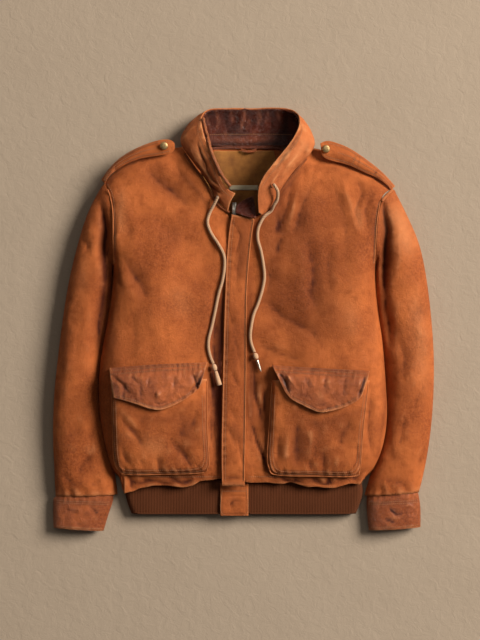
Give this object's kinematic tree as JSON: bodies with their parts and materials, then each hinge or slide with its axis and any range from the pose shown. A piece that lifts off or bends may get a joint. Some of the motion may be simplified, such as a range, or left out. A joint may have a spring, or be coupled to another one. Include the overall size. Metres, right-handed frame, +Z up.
{
  "type": "worn leather jacket laid flat",
  "caption": "Worn tan leather flying jacket, zipped up and laid flat on its back, with stand collar, drawcord, shoulder straps, bellows pockets, leather cuffs and knit waistband.",
  "frame": {"origin": "on the surface that the jacket lies on, under the middle of the whole jacket", "axes": "+X towards the wearer's left sleeve, +Y from hem to collar, +Z up out of the jacket's front"},
  "size_m": [0.7105, 0.786, 0.0923],
  "materials": {
    "leather": "worn nubuck, matt with rubbed folds",
    "rubbed_leather": "rubbed glossy",
    "dark_leather": "dark, wrinkled and glossy",
    "rib_knit": "ribbed wool knit",
    "twill_lining": "cotton twill",
    "label_cloth": "bare woven label",
    "cotton_cord": "braided cotton",
    "brass": "aged brass",
    "zip_metal": "aged metal"
  },
  "bodies": {
    "root": {"back": "leather", "front_right": "leather", "front_left": "leather", "sleeve_right": "leather", "sleeve_left": "leather", "cuff_right": "rubbed_leather", "cuff_left": "rubbed_leather", "waistband": "rib_knit", "hem_tab": "leather", "zip": "zip_metal", "storm_flap": "leather", "collar": "leather", "collar_facing": "dark_leather", "throat_facing": "dark_leather", "neck_lining": "twill_lining", "neck_label": "label_cloth", "hanger_loop": "rubbed_leather", "pocket_right": "leather", "pocket_left": "leather", "pocket_flap_right": "rubbed_leather", "pocket_flap_left": "rubbed_leather", "shoulder_strap_right": "leather", "shoulder_strap_left": "leather", "snap_right": "brass", "snap_left": "brass", "cord_right": "cotton_cord", "cord_left": "cotton_cord", "cord_knot_right": "cotton_cord", "cord_tassel_right": "cotton_cord", "cord_knot_left": "cotton_cord", "cord_tip_left": "zip_metal"}
  },
  "joints": []
}
